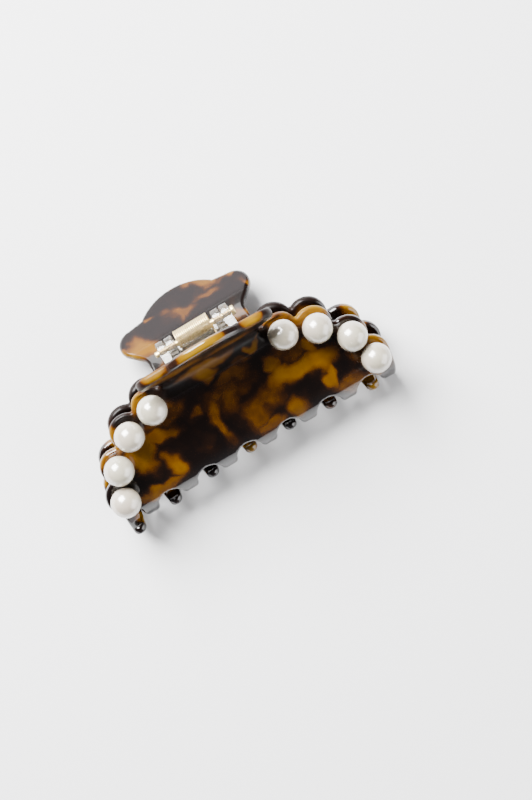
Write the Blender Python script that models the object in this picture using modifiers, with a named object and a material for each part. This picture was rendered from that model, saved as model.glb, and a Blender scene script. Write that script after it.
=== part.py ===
"""Claw clip: two bent acetate halves on a sprung hinge, with pearl beads on the front half.

Metres, +Z up. The clip lies on its rear half, on the plane z = 0, with its hinge axis along X and
its thumb tabs towards +Y. Each piece is modelled in the clip's upright frame, where the hinge pin
lies on the X axis, the front half is on the -Y side and the tabs point up, and an empty then lays
the whole clip down.
"""

import math

import bmesh
import bpy
from mathutils import Matrix, Vector

MM = 0.001
GAP = 0.3 * MM

# How the clip lies: the angle that its upright axis leans back from the table's normal, and
# where that puts the pin.
LEAN = math.radians(66.5)
PIN_HEIGHT = 24.87 * MM
PIN_Y = 14.75 * MM

# The front half is bonded to its hinge leaf slightly askew, turned in its own plane.
ASKEW = math.radians(0.9)
ASKEW_PIVOT_Z = -22.0 * MM

# Acetate sheet.
SHEET = 3.2 * MM
EDGE_ROUND = 1.0 * MM
HALF_SHEET = SHEET / 2

# Section of a half, from the tab's tip down to the teeth. d is the distance outward from the
# plane between the halves, z the height above the pin, and a heading is measured from straight
# down, positive outward.
TIP_D = 29.0 * MM
TIP_Z = 6.1 * MM
TIP_HEADING = math.radians(-62.0)
TAB_LENGTH = 19.5 * MM
NECK_LENGTH = 14.66 * MM
UPPER_LENGTH = 10.4 * MM
BELLY_LENGTH = 9.7 * MM
CURL_LENGTH = 12.33 * MM
NECK_TURN = math.radians(70.0)
UPPER_TURN = math.radians(4.0)
BELLY_TURN = math.radians(-9.0)
CURL_TURN = math.radians(-78.0)
NECK_END = TAB_LENGTH + NECK_LENGTH
JAW_TOP = NECK_END - 4.2 * MM

# The neck bend fades out towards the sides, so that the first lobes stay in the jaw's surface.
SHOULDER_IN = 14.5 * MM
SHOULDER_OUT = 22.0 * MM
SHOULDER_TOP = JAW_TOP - 7.9 * MM
SHOULDER_END = JAW_TOP - 2.9 * MM

# The tabs are flat. Below them the halves bow in towards each other at their ends, most of all at
# the teeth, and their tooth line hangs lower there. Both grow with the square of x, in metres per
# square metre.
BOW_TOP = TAB_LENGTH
BOW_FULL = JAW_TOP + 2.7 * MM
BOW = 0.99
TOOTH_BOW = 1.9
TOOTH_ARCH = 1.2

# Flat outline of a half: x across, s along the section from the tab's tip. The jaw's places
# along s are measured from the jaw's top.
DOME_HALF_WIDTH = 14.0 * MM
DOME_RISE = 6.3 * MM
EAR_X = 18.9 * MM
EAR_S = 12.4 * MM
EAR_RADIUS = 5.6 * MM
EAR_SWEEP = math.radians(40.0)
NECK_X = 18.4 * MM
WAIST_S = 23.4 * MM
WAIST_RADIUS = 5.0 * MM
LOBES = tuple(
    (x * MM, JAW_TOP + below * MM) for x, below in ((23.9, 1.2), (34.4, 5.5), (42.8, 14.2), (46.2, 23.8))
)
LOBE_RADIUS = 6.5 * MM
NOTCH_RADIUS = 0.7 * MM
NECK_NOTCH_RADIUS = 1.0 * MM
TOOTH_COUNT = 7
TOOTH_PITCH = 15.0 * MM
TOOTH_SHIFT = TOOTH_PITCH / 4
TOOTH_TIP_S = JAW_TOP + 38.0 * MM
TOOTH_TIP_RADIUS = 2.3 * MM
VALLEY_S = JAW_TOP + 32.3 * MM
VALLEY_RADIUS = 4.4 * MM
# The teeth bow in more than the jaw does, from the lowest lobe down.
TOOTH_BOW_START = LOBES[-1][1]

# The flat sheet is cut in rows along s, and at these x on both sides, so that it can bend.
NECK_ROW_COUNT = 6
JAW_ROWS = (JAW_TOP + 8.0 * MM, JAW_TOP + 14.5 * MM)
CURL_ROWS_START = JAW_TOP + 21.0 * MM
CURL_ROWS_END = JAW_TOP + 42.0 * MM
CURL_ROW_COUNT = 9
COLUMNS = (SHOULDER_IN, 24.0 * MM, 36.0 * MM, 48.0 * MM)

# Clear hinge leaves.
KNUCKLE_RADIUS = 3.4 * MM
KNUCKLE_LENGTH = 2.9 * MM
KNUCKLE_CHAMFER = 0.4 * MM
# HINGE_X is how far the hinge and the rear half sit off the front half's middle. The other x
# values of the hinge are from its own middle.
HINGE_X = 0.45 * MM
INNER_KNUCKLE_X = 8.65 * MM
OUTER_KNUCKLE_X = 11.85 * MM
PAD_THICKNESS = 1.0 * MM
PAD_HALF_WIDTH = 13.3 * MM
PAD_TOP_S = 22.6 * MM
PAD_BOTTOM_S = 28.6 * MM
PAD_CORNER = 1.5 * MM
PAD_ROUND = 0.3 * MM
PAD_COLUMNS = (-9.0 * MM, 0.0, 9.0 * MM)
PAD_ROW_MARGIN = 1.0 * MM
PAD_ROW_COUNT = 4
WEB_HEADING = math.radians(-43.0)
WEB_THICKNESS = 5.0 * MM
WEB_REACH = 7.4 * MM

# Pin and spring.
PIN_RADIUS = 1.0 * MM
PIN_ROUND = 0.3 * MM
BORE_RADIUS = PIN_RADIUS + 0.1 * MM
BORE_REACH = PAD_HALF_WIDTH + 2.0 * MM
PIN_LEFT = -14.8 * MM
PIN_HEAD_X = 13.5 * MM
PIN_HEAD_LENGTH = 1.3 * MM
PIN_HEAD_RADIUS = 1.6 * MM
WIRE_RADIUS = 0.29 * MM
COIL_RADIUS = 2.66 * MM
# The coil is loose on the pin, and lies off its axis by this much.
COIL_SHIFT_Y = 0.3 * MM
COIL_SHIFT_Z = 0.9 * MM
COIL_TURNS = 19
COIL_PITCH = 0.65 * MM
COIL_START_X = -6.3 * MM
COIL_POINTS = 10
LEG_Y = 11.6 * MM
LEG_Z = -0.6 * MM

# Pearls and their pegs.
PEARL_RADIUS = 5.0 * MM
PEARL_FLAT = 4.6 * MM
PEG_RADIUS = 0.6 * MM
PEG_HOLE_RADIUS = 0.8 * MM
PEG_CUTTER_ABOVE = 1.0 * MM
PEG_IN_SHEET = 2.0 * MM
PEG_IN_PEARL = 3.4 * MM

ROUND_STEPS = 20
PEARL_STEPS = 15
PEARL_RINGS = 8
PEG_STEPS = 12


# Section and bending ------------------------------------------------------------------------


def smooth_step(value, low, high):
    t = min(max((value - low) / (high - low), 0.0), 1.0)
    return t * t * (3 - 2 * t)


def along_arc(d, z, heading, length, turn):
    """The end of an arc of this length that starts at d, z and turns by this angle."""
    if abs(turn) < 1e-9:
        return d + length * math.sin(heading), z - length * math.cos(heading), heading
    radius = length / turn
    end = heading + turn
    d += radius * (math.cos(heading) - math.cos(end))
    z -= radius * (math.sin(end) - math.sin(heading))
    return d, z, end


def section(s, stretch=0.0):
    """d, z and heading of the sheet's middle at s. stretch lengthens the belly."""
    arcs = (
        (TAB_LENGTH, 0.0),
        (NECK_LENGTH, NECK_TURN),
        (UPPER_LENGTH, UPPER_TURN),
        (BELLY_LENGTH + stretch, BELLY_TURN),
        (CURL_LENGTH, CURL_TURN),
    )
    d, z, heading = TIP_D, TIP_Z, TIP_HEADING
    for length, turn in arcs:
        part = min(s, length)
        d, z, heading = along_arc(d, z, heading, part, turn * part / length)
        s -= part
        if s <= 0:
            return d, z, heading
    return along_arc(d, z, heading, s, 0.0)


def straight_shoulder(s):
    """The section as it would be with no neck bend: the jaw's line carried on upward."""
    d, z, heading = section(NECK_END)
    return along_arc(d, z, heading, s - NECK_END, 0.0)


def place(x, s, h=0.0):
    """Place in the front half's upright frame of a point of the flat sheet. h is the distance
    from the sheet's middle, positive towards its outer face."""
    d, z, heading = section(s, TOOTH_ARCH * x * x)
    if s < NECK_END:
        flat = smooth_step(abs(x), SHOULDER_IN, SHOULDER_OUT) * smooth_step(s, SHOULDER_TOP, SHOULDER_END)
        flat_d, flat_z, flat_heading = straight_shoulder(s)
        d += flat * (flat_d - d)
        z += flat * (flat_z - z)
        heading += flat * (flat_heading - heading)
    bow = BOW * smooth_step(s, BOW_TOP, BOW_FULL)
    bow += (TOOTH_BOW - BOW) * smooth_step(s, TOOTH_BOW_START, TOOTH_TIP_S)
    d += h * math.cos(heading) - bow * x * x
    z += h * math.sin(heading)
    return Vector((x, -d, z))


def outward(x, s):
    """The unit normal of the sheet's outer face, towards the outside."""
    step = 0.1 * MM
    across = place(x + step, s) - place(x - step, s)
    down = place(x, s + step) - place(x, s - step)
    normal = across.cross(down).normalized()
    return normal if normal.y < 0 else -normal


# Flat outline -------------------------------------------------------------------------------


def arc_points(centre, radius, start, end, count):
    """Points on an arc of the flat outline, angles in radians from +x towards +s."""
    step = (end - start) / count
    return [
        (centre[0] + radius * math.cos(start + i * step), centre[1] + radius * math.sin(start + i * step))
        for i in range(count + 1)
    ]


def angle_to(centre, point):
    return math.atan2(point[1] - centre[1], point[0] - centre[0])


def bulge(centre, radius, start, end, count):
    """An arc that bulges outward: its angle grows from start to end."""
    return arc_points(centre, radius, start, start + (end - start) % (2 * math.pi), count)


def notch(centre, radius, start, end, count):
    """An arc that cuts inward: its angle shrinks from start to end."""
    return arc_points(centre, radius, start, start - (start - end) % (2 * math.pi), count)


def notch_centre(first, second):
    """Centre of the small arc that rounds the outer notch between two lobes."""
    reach = LOBE_RADIUS + NOTCH_RADIUS
    middle = ((first[0] + second[0]) / 2, (first[1] + second[1]) / 2)
    dx, ds = second[0] - first[0], second[1] - first[1]
    apart = math.hypot(dx, ds)
    rise = math.sqrt(reach**2 - (apart / 2) ** 2)
    return middle[0] + ds / apart * rise, middle[1] - dx / apart * rise


def tab_side():
    """Right side of the tab, from the dome's top to the waist."""
    dome_radius = (DOME_HALF_WIDTH**2 + DOME_RISE**2) / (2 * DOME_RISE)
    dome_angle = math.asin(DOME_HALF_WIDTH / dome_radius)
    right = math.pi / 2
    points = arc_points((0.0, dome_radius), dome_radius, -right, -right + dome_angle * 0.97, 5)
    points += arc_points((EAR_X, EAR_S), EAR_RADIUS, -right, EAR_SWEEP, 7)
    waist = (NECK_X + WAIST_RADIUS, WAIST_S)
    points += arc_points(waist, WAIST_RADIUS, math.pi + EAR_SWEEP, math.pi, 3)
    return points


def lobe_side():
    """Right side of the jaw, from the neck's notch to the lowest lobe, with rounded notches."""
    first = LOBES[0]
    reach = LOBE_RADIUS + NECK_NOTCH_RADIUS
    notch_x = NECK_X + NECK_NOTCH_RADIUS
    centre = (notch_x, first[1] - math.sqrt(reach**2 - (first[0] - notch_x) ** 2))
    points = notch(centre, NECK_NOTCH_RADIUS, math.pi, angle_to(centre, first), 3)
    start = angle_to(first, centre)
    for lobe, following in zip(LOBES, LOBES[1:]):
        centre = notch_centre(lobe, following)
        points += bulge(lobe, LOBE_RADIUS, start, angle_to(lobe, centre), 7)
        points += notch(centre, NOTCH_RADIUS, angle_to(centre, lobe), angle_to(centre, following), 2)
        start = angle_to(following, centre)
    points += bulge(LOBES[-1], LOBE_RADIUS, start, math.radians(5.0), 4)
    return points


def tooth_line():
    """The comb, from the right end to the left."""
    points = []
    for index in reversed(range(TOOTH_COUNT)):
        x = TOOTH_SHIFT + TOOTH_PITCH * (index - TOOTH_COUNT // 2)
        tip = (x, TOOTH_TIP_S + TOOTH_ARCH * x * x)
        points += arc_points(tip, TOOTH_TIP_RADIUS, math.radians(8.0), math.radians(172.0), 5)
        if index:
            valley_x = x - TOOTH_PITCH / 2
            valley = (valley_x, VALLEY_S + TOOTH_ARCH * valley_x**2)
            points += arc_points(valley, VALLEY_RADIUS, 0.0, -math.pi, 6)
    return points


def last_notch():
    """The rounded notch between the left end's first tooth and its lowest lobe."""
    lobe = (-LOBES[-1][0], LOBES[-1][1])
    tooth_x = TOOTH_SHIFT - TOOTH_PITCH * (TOOTH_COUNT // 2)
    side_x = tooth_x - TOOTH_PITCH / 2 + VALLEY_RADIUS
    reach = LOBE_RADIUS + NOTCH_RADIUS
    centre_x = side_x - NOTCH_RADIUS
    centre = (centre_x, lobe[1] + math.sqrt(reach**2 - (centre_x - lobe[0]) ** 2))
    points = notch(centre, NOTCH_RADIUS, 0.0, angle_to(centre, lobe), 2)
    return points, angle_to(lobe, centre)


def outline():
    """The whole flat outline, from the dome's top round the right side."""
    right = tab_side() + lobe_side()
    corner, start = last_notch()
    left_lobe = (-LOBES[-1][0], LOBES[-1][1])
    bottom = bulge(left_lobe, LOBE_RADIUS, start, math.radians(175.0), 4)
    left = [(-x, s) for x, s in reversed(right) if x > 1e-6]
    points = right + tooth_line() + corner + bottom + left
    return [point for point, after in zip(points, points[1:] + points[:1]) if math.dist(point, after) > 1e-6]


# Blender helpers ----------------------------------------------------------------------------


def clear_scene():
    for obj in list(bpy.data.objects):
        bpy.data.objects.remove(obj, do_unlink=True)


def new_collection(name):
    collection = bpy.data.collections.new(name)
    bpy.context.scene.collection.children.link(collection)
    return collection


def new_material(name, colour, roughness, metallic=0.0, transmission=0.0):
    material = bpy.data.materials.new(name)
    material.use_nodes = True
    shader = material.node_tree.nodes["Principled BSDF"]
    shader.inputs["Base Color"].default_value = (*colour, 1.0)
    shader.inputs["Roughness"].default_value = roughness
    shader.inputs["Metallic"].default_value = metallic
    shader.inputs["Transmission Weight"].default_value = transmission
    return material


def new_object(name, mesh, collection, material=None):
    obj = bpy.data.objects.new(name, mesh)
    collection.objects.link(obj)
    if material:
        mesh.materials.append(material)
    return obj


def new_cutter(name, mesh, cutters):
    cutter = new_object(name, mesh, cutters)
    cutter.hide_render = True
    cutter.display_type = "WIRE"
    return cutter


def mesh_of(obj, name):
    """A welded mesh of a curve or modified object, which is then removed."""
    graph = bpy.context.evaluated_depsgraph_get()
    mesh = bpy.data.meshes.new_from_object(obj.evaluated_get(graph))
    mesh.name = name
    shape = bmesh.new()
    shape.from_mesh(mesh)
    bmesh.ops.remove_doubles(shape, verts=shape.verts, dist=1e-6)
    shape.to_mesh(mesh)
    shape.free()
    bpy.data.objects.remove(obj, do_unlink=True)
    return mesh


def shade_round(obj, angle=35.0):
    obj.data.shade_smooth()
    obj.data.set_sharp_from_angle(angle=math.radians(angle))


def flat_slab(name, points, thickness, rounding, collection):
    """A slab of this flat outline, its edges rounded, as a mesh: x across, y along s, z through."""
    curve = bpy.data.curves.new(name, "CURVE")
    curve.dimensions = "2D"
    curve.fill_mode = "BOTH"
    curve.extrude = thickness / 2 - rounding
    curve.bevel_depth = rounding
    curve.bevel_resolution = 0
    curve.offset = -rounding
    spline = curve.splines.new("POLY")
    spline.points.add(len(points) - 1)
    for point, (x, s) in zip(spline.points, points):
        point.co = (x, s, 0.0, 1.0)
    spline.use_cyclic_u = True
    return mesh_of(new_object(name, curve, collection), name)


def cut_rows(shape, x_levels, s_levels):
    """Cuts the flat slab along lines of constant x and constant s, so that it can bend."""
    for axis, levels in ((0, x_levels), (1, s_levels)):
        for level in levels:
            spot = Vector((0.0, 0.0, 0.0))
            spot[axis] = level
            normal = Vector((0.0, 0.0, 0.0))
            normal[axis] = 1.0
            everything = shape.verts[:] + shape.edges[:] + shape.faces[:]
            bmesh.ops.bisect_plane(shape, geom=everything, dist=1e-6, plane_co=spot, plane_no=normal)


def levels(start, end, count):
    return [start + (end - start) * i / count for i in range(count + 1)]


def bend(mesh, x_levels, s_levels, h_middle=0.0):
    """Bends a flat slab to the section of a half. h_middle is where its middle lies."""
    shape = bmesh.new()
    shape.from_mesh(mesh)
    bmesh.ops.recalc_face_normals(shape, faces=shape.faces)
    bmesh.ops.dissolve_limit(shape, angle_limit=1e-3, verts=shape.verts, edges=shape.edges)
    cut_rows(shape, x_levels, s_levels)
    bmesh.ops.triangulate(shape, faces=shape.faces)
    for vertex in shape.verts:
        vertex.co = place(vertex.co.x, vertex.co.y, h_middle + vertex.co.z)
    bmesh.ops.reverse_faces(shape, faces=shape.faces)
    shape.to_mesh(mesh)
    shape.free()


def turned(name, profile, steps, collection):
    """A turned solid about the X axis, as a mesh. The profile is (x, radius) from end to end."""
    mesh = bpy.data.meshes.new(name)
    shape = bmesh.new()
    corners = [shape.verts.new((radius, 0.0, x)) for x, radius in profile]
    for first, second in zip(corners, corners[1:]):
        shape.edges.new((first, second))
    shape.to_mesh(mesh)
    shape.free()
    obj = new_object(name, mesh, collection)
    screw = obj.modifiers.new("turn", "SCREW")
    screw.axis = "Z"
    screw.steps = steps
    screw.render_steps = steps
    screw.use_merge_vertices = True
    screw.merge_threshold = 1e-6
    made = mesh_of(obj, name)
    made.transform(Matrix.Rotation(math.radians(90.0), 4, "Y"))
    return made


def boolean(obj, other, operation):
    modifier = obj.modifiers.new(other.name, "BOOLEAN")
    modifier.operation = operation
    modifier.solver = "EXACT"
    modifier.object = other


# Pieces -------------------------------------------------------------------------------------


def half_mesh(name, collection):
    mesh = flat_slab(name, outline(), SHEET, EDGE_ROUND, collection)
    neck = levels(TAB_LENGTH, NECK_END, NECK_ROW_COUNT)
    curl = levels(CURL_ROWS_START, CURL_ROWS_END, CURL_ROW_COUNT)
    left_columns = [-x for x in COLUMNS]
    bend(mesh, left_columns + [0.0] + list(COLUMNS), neck + list(JAW_ROWS) + curl)
    return mesh


def lobe_centres():
    """Name, flat x and flat s of each lobe, counted from the neck outward."""
    for side, sign in (("left", -1), ("right", 1)):
        for index, (x, s) in enumerate(LOBES, 1):
            yield f"{side}_{index}", sign * x, s


def seat_matrix(x, s, height):
    """Turns +X to the outward normal at this place of the front half, height above the middle."""
    normal = outward(x, s)
    turn = Vector((1.0, 0.0, 0.0)).rotation_difference(normal).to_matrix().to_4x4()
    return Matrix.Translation(place(x, s) + normal * height) @ turn


def make_front_half(parts, cutters, material):
    half = new_object("front_half", half_mesh("front_half", parts), parts, material)
    profile = (
        (PEG_CUTTER_ABOVE, 0.0),
        (PEG_CUTTER_ABOVE, PEG_HOLE_RADIUS),
        (-PEG_IN_SHEET - GAP, PEG_HOLE_RADIUS),
        (-PEG_IN_SHEET - GAP, 0.0),
    )
    for label, x, s in lobe_centres():
        mesh = turned("peg_hole_" + label, profile, PEG_STEPS, cutters)
        cutter = new_cutter("peg_hole_" + label, mesh, cutters)
        cutter.matrix_world = seat_matrix(x, s, HALF_SHEET)
        boolean(half, cutter, "DIFFERENCE")
    shade_round(half)
    return half


def make_rear_half(parts, material):
    half = new_object("rear_half", half_mesh("rear_half", parts), parts, material)
    half.rotation_euler = (0.0, 0.0, math.pi)
    shade_round(half)
    return half


def rounded_rectangle(half_width, top, bottom, corner):
    right = math.pi / 2
    points = []
    for x, s, start in ((1, bottom, 0.0), (-1, bottom, right), (-1, top, 2 * right), (1, top, 3 * right)):
        centre_s = s - corner if s == bottom else s + corner
        points += arc_points((x * (half_width - corner), centre_s), corner, start, start + right, 3)
    return points


def knuckle_profile(x):
    """A knuckle with chamfered ends, centred at x on the hinge axis."""
    right = x + KNUCKLE_LENGTH / 2
    left = x - KNUCKLE_LENGTH / 2
    rim = KNUCKLE_RADIUS - KNUCKLE_CHAMFER
    return (
        (right, 0.0),
        (right, rim),
        (right - KNUCKLE_CHAMFER, KNUCKLE_RADIUS),
        (left + KNUCKLE_CHAMFER, KNUCKLE_RADIUS),
        (left, rim),
        (left, 0.0),
    )


def web_block(name, x, cutters):
    """The block that joins the knuckle at x to the pad."""
    mesh = bpy.data.meshes.new(name)
    shape = bmesh.new()
    bmesh.ops.create_cube(shape, size=1.0)
    shape.to_mesh(mesh)
    shape.free()
    mesh.transform(Matrix.Diagonal((KNUCKLE_LENGTH, WEB_REACH, WEB_THICKNESS, 1.0)))
    block = new_cutter(name, mesh, cutters)
    towards_pad = Vector((0.0, -math.cos(WEB_HEADING), math.sin(WEB_HEADING)))
    middle = Matrix.Translation(Vector((x, 0.0, 0.0)) + towards_pad * WEB_REACH / 2)
    block.matrix_world = middle @ Matrix.Rotation(-WEB_HEADING, 4, "X")
    return block


def make_leaf(name, knuckle_x, parts, cutters, material):
    """A pad that follows the sheet's inner face, with two knuckles on webs. Modelled in front."""
    points = rounded_rectangle(PAD_HALF_WIDTH, PAD_TOP_S, PAD_BOTTOM_S, PAD_CORNER)
    mesh = flat_slab(name, points, PAD_THICKNESS, PAD_ROUND, parts)
    rows = levels(PAD_TOP_S + PAD_ROW_MARGIN, PAD_BOTTOM_S - PAD_ROW_MARGIN, PAD_ROW_COUNT)
    bend(mesh, PAD_COLUMNS, rows, -HALF_SHEET - GAP - PAD_THICKNESS / 2)
    leaf = new_object(name, mesh, parts, material)
    for label, x in ((name + "_left", -knuckle_x), (name + "_right", knuckle_x)):
        barrel = turned(label + "_barrel", knuckle_profile(x), ROUND_STEPS, cutters)
        boolean(leaf, new_cutter(label + "_barrel", barrel, cutters), "UNION")
        boolean(leaf, web_block(label + "_web", x, cutters), "UNION")
    bore_profile = (
        (BORE_REACH, 0.0),
        (BORE_REACH, BORE_RADIUS),
        (-BORE_REACH, BORE_RADIUS),
        (-BORE_REACH, 0.0),
    )
    bore = turned(name + "_bore", bore_profile, ROUND_STEPS, cutters)
    boolean(leaf, new_cutter(name + "_bore", bore, cutters), "DIFFERENCE")
    shade_round(leaf)
    return leaf


def make_pin(parts, material):
    """Plain shank with a chamfered left end and a turned head on the right."""
    head_end = PIN_HEAD_X + PIN_HEAD_LENGTH
    profile = (
        (head_end, 0.0),
        (head_end, PIN_HEAD_RADIUS - PIN_ROUND),
        (head_end - PIN_ROUND, PIN_HEAD_RADIUS),
        (PIN_HEAD_X + PIN_ROUND, PIN_HEAD_RADIUS),
        (PIN_HEAD_X, PIN_HEAD_RADIUS - PIN_ROUND),
        (PIN_HEAD_X, PIN_RADIUS),
        (PIN_LEFT + PIN_ROUND, PIN_RADIUS),
        (PIN_LEFT, PIN_RADIUS - PIN_ROUND),
        (PIN_LEFT, 0.0),
    )
    pin = new_object("hinge_pin", turned("hinge_pin", profile, ROUND_STEPS, parts), parts, material)
    shade_round(pin)
    return pin


def spring_route():
    """The wire's middle: rear leg, coil, front leg. Both legs leave the coil at its bottom."""
    bottom = COIL_SHIFT_Z - COIL_RADIUS
    knee = (bottom + LEG_Z) / 2
    points = [Vector((COIL_START_X, LEG_Y, LEG_Z)), Vector((COIL_START_X, LEG_Y / 2, knee))]
    count = COIL_TURNS * COIL_POINTS
    for i in range(count + 1):
        angle = 2 * math.pi * i / COIL_POINTS
        x = COIL_START_X + COIL_PITCH * i / COIL_POINTS
        y = COIL_SHIFT_Y - COIL_RADIUS * math.sin(angle)
        points.append(Vector((x, y, COIL_SHIFT_Z - COIL_RADIUS * math.cos(angle))))
    end_x = COIL_START_X + COIL_PITCH * COIL_TURNS
    points.append(Vector((end_x, -LEG_Y / 2, knee)))
    points.append(Vector((end_x, -LEG_Y, LEG_Z)))
    return points


def make_spring(parts, material):
    curve = bpy.data.curves.new("torsion_spring", "CURVE")
    curve.dimensions = "3D"
    curve.bevel_depth = WIRE_RADIUS
    curve.bevel_resolution = 2
    curve.use_fill_caps = True
    route = spring_route()
    spline = curve.splines.new("POLY")
    spline.points.add(len(route) - 1)
    for point, spot in zip(spline.points, route):
        point.co = (*spot, 1.0)
    mesh = mesh_of(new_object("torsion_spring", curve, parts), "torsion_spring")
    spring = new_object("torsion_spring", mesh, parts, material)
    shade_round(spring)
    return spring


def pearl_profile():
    """Drilled bead with a small flat seat, centred on the origin, its seat towards -X."""
    seat_radius = math.sqrt(PEARL_RADIUS**2 - PEARL_FLAT**2)
    start = math.atan2(seat_radius, -PEARL_FLAT)
    turns = [start * i / PEARL_RINGS for i in range(1, PEARL_RINGS + 1)]
    arc = [(PEARL_RADIUS * math.cos(turn), PEARL_RADIUS * math.sin(turn)) for turn in turns]
    hole_end = -PEARL_FLAT + PEG_IN_PEARL + GAP
    hole = [(-PEARL_FLAT, PEG_HOLE_RADIUS), (hole_end, PEG_HOLE_RADIUS), (hole_end, 0.0)]
    return [(PEARL_RADIUS, 0.0)] + arc + hole


def make_pearls(parts, pearl_material, peg_material):
    made = []
    centre_height = HALF_SHEET + GAP + PEARL_FLAT
    peg_profile = (
        (HALF_SHEET + GAP + PEG_IN_PEARL, 0.0),
        (HALF_SHEET + GAP + PEG_IN_PEARL, PEG_RADIUS),
        (HALF_SHEET - PEG_IN_SHEET, PEG_RADIUS),
        (HALF_SHEET - PEG_IN_SHEET, 0.0),
    )
    for label, x, s in lobe_centres():
        bead = turned("pearl_" + label, pearl_profile(), PEARL_STEPS, parts)
        pearl = new_object("pearl_" + label, bead, parts, pearl_material)
        pearl.matrix_world = seat_matrix(x, s, centre_height)
        shaft = turned("peg_" + label, peg_profile, PEG_STEPS, parts)
        peg = new_object("peg_" + label, shaft, parts, peg_material)
        peg.matrix_world = seat_matrix(x, s, 0.0)
        for obj in (pearl, peg):
            shade_round(obj)
            made.append(obj)
    return made


def new_empty(name, collection, parent=None):
    empty = bpy.data.objects.new(name, None)
    collection.objects.link(empty)
    empty.parent = parent
    return empty


def main():
    clear_scene()
    parts = new_collection("claw_clip")
    cutters = new_collection("cutters")
    acetate = new_material("tortoiseshell_acetate", (0.16, 0.07, 0.02), 0.12)
    clear = new_material("clear_plastic", (0.86, 0.84, 0.80), 0.1, transmission=0.8)
    gold = new_material("pale_gold", (0.82, 0.72, 0.50), 0.25, metallic=1.0)
    pearl = new_material("pearl", (0.90, 0.87, 0.80), 0.22)

    clip = new_empty("clip_lying", parts)
    opening = new_empty("front_on_hinge_axis", parts, clip)
    askew = new_empty("front_askew", parts, opening)
    pivot = Matrix.Translation((0.0, 0.0, ASKEW_PIVOT_Z))
    askew.matrix_local = pivot @ Matrix.Rotation(ASKEW, 4, "Y") @ pivot.inverted()
    front = [make_front_half(parts, cutters, acetate)] + make_pearls(parts, pearl, gold)
    front_leaf = make_leaf("front_hinge_leaf", OUTER_KNUCKLE_X, parts, cutters, clear)
    front_hinge = new_empty("front_hinge", parts, opening)
    rear_hinge = new_empty("rear_hinge", parts, clip)
    for hinge in (front_hinge, rear_hinge):
        hinge.location.x = HINGE_X
    front_leaf.parent = front_hinge
    rear_half = make_rear_half(parts, acetate)
    rear_half.parent = rear_hinge
    rear_leaf = make_leaf("rear_hinge_leaf", INNER_KNUCKLE_X, parts, cutters, clear)
    rear_leaf.rotation_euler = (0.0, 0.0, math.pi)
    for obj in front:
        obj.parent = askew
    for obj in (rear_leaf, make_pin(parts, gold), make_spring(parts, gold)):
        obj.parent = rear_hinge
    holders = {"peg_hole": askew, "front_hinge_leaf": front_hinge, "rear_hinge_leaf": rear_leaf}
    for start, holder in holders.items():
        for cutter in cutters.objects:
            if cutter.name.startswith(start):
                cutter.parent = holder
    clip.rotation_euler = (-LEAN, 0.0, 0.0)
    clip.location = (0.0, PIN_Y, PIN_HEIGHT)


main()
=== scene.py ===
"""Claw clip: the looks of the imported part, its floor, light and camera."""

import math

import bmesh
import bpy
from mathutils import Matrix, Vector


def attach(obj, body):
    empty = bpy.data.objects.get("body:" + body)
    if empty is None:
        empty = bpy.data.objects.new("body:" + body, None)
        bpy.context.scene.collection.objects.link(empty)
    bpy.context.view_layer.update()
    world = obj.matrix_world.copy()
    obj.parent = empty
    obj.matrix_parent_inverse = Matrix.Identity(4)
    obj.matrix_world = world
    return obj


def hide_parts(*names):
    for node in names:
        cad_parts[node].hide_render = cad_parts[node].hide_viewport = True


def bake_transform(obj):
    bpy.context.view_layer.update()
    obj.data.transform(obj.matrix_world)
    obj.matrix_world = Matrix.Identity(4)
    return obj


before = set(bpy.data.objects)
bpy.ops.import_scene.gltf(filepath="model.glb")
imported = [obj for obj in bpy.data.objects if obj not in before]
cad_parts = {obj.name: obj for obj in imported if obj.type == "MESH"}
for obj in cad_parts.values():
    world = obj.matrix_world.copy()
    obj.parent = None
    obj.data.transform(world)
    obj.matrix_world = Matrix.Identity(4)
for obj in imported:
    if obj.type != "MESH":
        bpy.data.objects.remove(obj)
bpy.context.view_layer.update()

MM = 0.001

# The clip's build, as in the part: lean, pin, and the front half's small skew.
LEAN = math.radians(66.5)
PIN = Vector((0.0, 14.75 * MM, 24.87 * MM))
# How far the hinge and the rear half sit off the front half's middle.
HINGE_X = 0.45 * MM
ASKEW = math.radians(0.9)
ASKEW_PIVOT = Matrix.Translation((0.0, 0.0, -22.0 * MM))
CLIP = Matrix.Translation(PIN) @ Matrix.Rotation(-LEAN, 4, "X")
FRONT = CLIP @ ASKEW_PIVOT @ Matrix.Rotation(ASKEW, 4, "Y") @ ASKEW_PIVOT.inverted()
HINGE = CLIP @ Matrix.Translation((HINGE_X, 0.0, 0.0))
REAR = HINGE @ Matrix.Rotation(math.pi, 4, "Z")

SHEET = 3.2 * MM
HALF_SHEET = SHEET / 2
EDGE_ROUND = 1.2 * MM
EDGE_RINGS = 4
GAP = 0.3 * MM

# Section of a half: d outward, z up from the pin, headings from straight down.
TIP_D = 29.0 * MM
TIP_Z = 6.1 * MM
TIP_HEADING = math.radians(-62.0)
TAB_LENGTH = 19.5 * MM
NECK_LENGTH = 14.66 * MM
UPPER_LENGTH = 10.4 * MM
BELLY_LENGTH = 9.7 * MM
CURL_LENGTH = 12.33 * MM
NECK_TURN = math.radians(70.0)
UPPER_TURN = math.radians(4.0)
BELLY_TURN = math.radians(-9.0)
CURL_TURN = math.radians(-78.0)
NECK_END = TAB_LENGTH + NECK_LENGTH
JAW_TOP = NECK_END - 4.2 * MM
SHOULDER_IN = 14.5 * MM
SHOULDER_OUT = 22.0 * MM
SHOULDER_TOP = JAW_TOP - 7.9 * MM
SHOULDER_END = JAW_TOP - 2.9 * MM
# How the halves bow in and their tooth line hangs lower at the ends, with the square of x.
BOW_TOP = TAB_LENGTH
BOW_FULL = JAW_TOP + 2.7 * MM
BOW = 0.99
TOOTH_BOW = 1.9
TOOTH_ARCH = 1.2

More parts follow.
